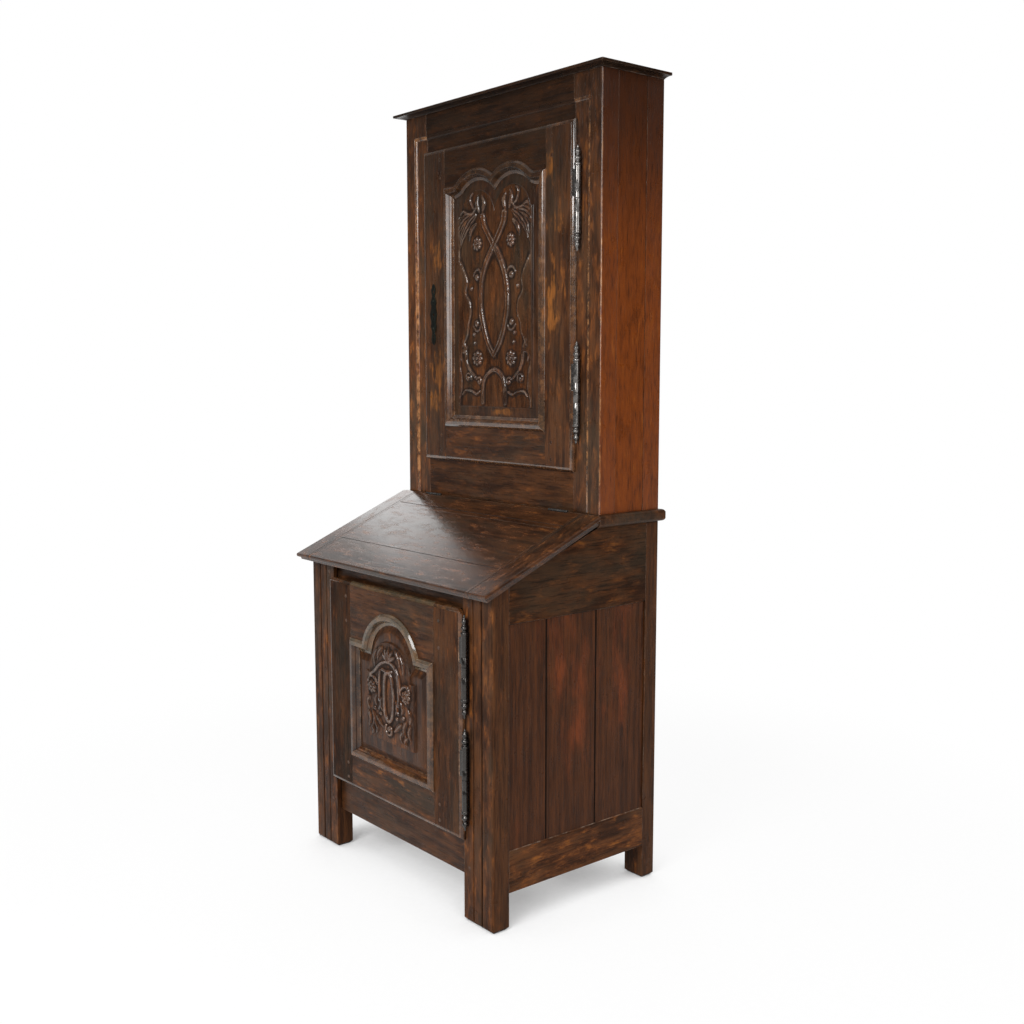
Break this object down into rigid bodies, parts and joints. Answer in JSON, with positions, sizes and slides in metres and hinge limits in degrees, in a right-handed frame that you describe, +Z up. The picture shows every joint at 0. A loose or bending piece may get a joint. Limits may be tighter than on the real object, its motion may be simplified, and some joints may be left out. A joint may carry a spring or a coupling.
{
  "type": "bonnetiere cabinet",
  "caption": "Tall narrow carved oak cabinet: slant-lid cupboard base with an arched panelled door, and a shallow upper cupboard with a shaped panelled door.",
  "frame": {"origin": "on the floor, at the middle of the outer box", "axes": "+Z up, +Y from the front to the back, +X to the right of a person facing the front"},
  "size_m": [0.806, 0.5602, 1.926],
  "materials": {
    "oak_frame": "dark waxed oak, satin, worn at the edges",
    "oak_boards": "dark oak boards with reddish wear",
    "oak_panel": "carved dark oak, satin",
    "oak_lid": "dark polished oak, glossy",
    "oak_inside": "plain unpolished oak",
    "oak_back": "rough sawn oak",
    "peg_oak": "riven oak pegs",
    "hinge_iron": "dark turned iron, polished by use",
    "plate_iron": "black sheet iron",
    "lock_iron": "plain forged iron"
  },
  "bodies": {
    "case": {"case_pegs": "peg_oak", "cornice_front": "oak_frame", "cornice_returns": "oak_frame", "door_hinge_frame_knuckles": "hinge_iron", "left_side_boards": "oak_boards", "left_side_bottom_rail": "oak_frame", "left_side_top_rail": "oak_frame", "lid_hinge_case_leaves": "hinge_iron", "lock_keeper": "lock_iron", "lower_back_boards": "oak_back", "lower_back_rails": "oak_back", "lower_floor": "oak_inside", "lower_front_bottom_rail": "oak_frame", "lower_front_top_rail": "oak_frame", "lower_left_front_post": "oak_frame", "lower_left_rear_post": "oak_frame", "lower_right_front_post": "oak_frame", "lower_right_rear_post": "oak_frame", "lower_shelf": "oak_inside", "right_side_boards": "oak_boards", "right_side_bottom_rail": "oak_frame", "right_side_top_rail": "oak_frame", "shelf_bearers": "oak_inside", "upper_back_boards": "oak_back", "upper_bottom_board": "oak_inside", "upper_bottom_rail": "oak_frame", "upper_left_front_post": "oak_frame", "upper_left_rear_post": "oak_frame", "upper_left_side_board": "oak_boards", "upper_right_front_post": "oak_frame", "upper_right_rear_post": "oak_frame", "upper_right_side_board": "oak_boards", "upper_shelves": "oak_inside", "upper_top_board": "oak_back", "upper_top_rail": "oak_frame", "waist_board": "oak_frame", "well_floor": "oak_inside"},
    "upper_door": {"upper_door_bottom_rail": "oak_frame", "upper_door_hinge_stile": "oak_frame", "upper_door_knuckles": "hinge_iron", "upper_door_lock_stile": "oak_frame", "upper_door_panel": "oak_panel", "upper_door_pegs": "peg_oak", "upper_door_top_rail": "oak_frame", "escutcheon": "plate_iron", "lock_case": "lock_iron"},
    "lower_door": {"lower_door_bottom_rail": "oak_frame", "lower_door_hinge_stile": "oak_frame", "lower_door_knuckles": "hinge_iron", "lower_door_lock_stile": "oak_frame", "lower_door_panel": "oak_panel", "lower_door_pegs": "peg_oak", "lower_door_top_rail": "oak_frame"},
    "lid": {"lid_stiles": "oak_lid", "lid_front_rail": "oak_lid", "lid_back_rail": "oak_lid", "lid_panel": "oak_lid", "lid_hinge_lid_leaves": "hinge_iron"},
    "lock_bolt": {"lock_bolt": "lock_iron"}
  },
  "joints": [
    {"name": "upper_door_hinge", "type": "hinge", "parent": "case", "child": "upper_door", "pos_m": [0.304, 0.06619, 1.4175], "axis": [0, 0, 1], "range_deg": [0, 170]},
    {"name": "lower_door_hinge", "type": "hinge", "parent": "case", "child": "lower_door", "pos_m": [0.289, -0.25281, 0.4655], "axis": [0, 0, 1], "range_deg": [0, 170]},
    {"name": "lid_hinge", "type": "hinge", "parent": "case", "child": "lid", "pos_m": [0, 0.05964, 0.918], "axis": [-1, 0, 0], "range_deg": [0, 90]},
    {"name": "lock_bolt_slide", "type": "slide", "parent": "upper_door", "child": "lock_bolt", "axis": [-1, 0, 0], "range_m": [0, 0.012]}
  ]
}
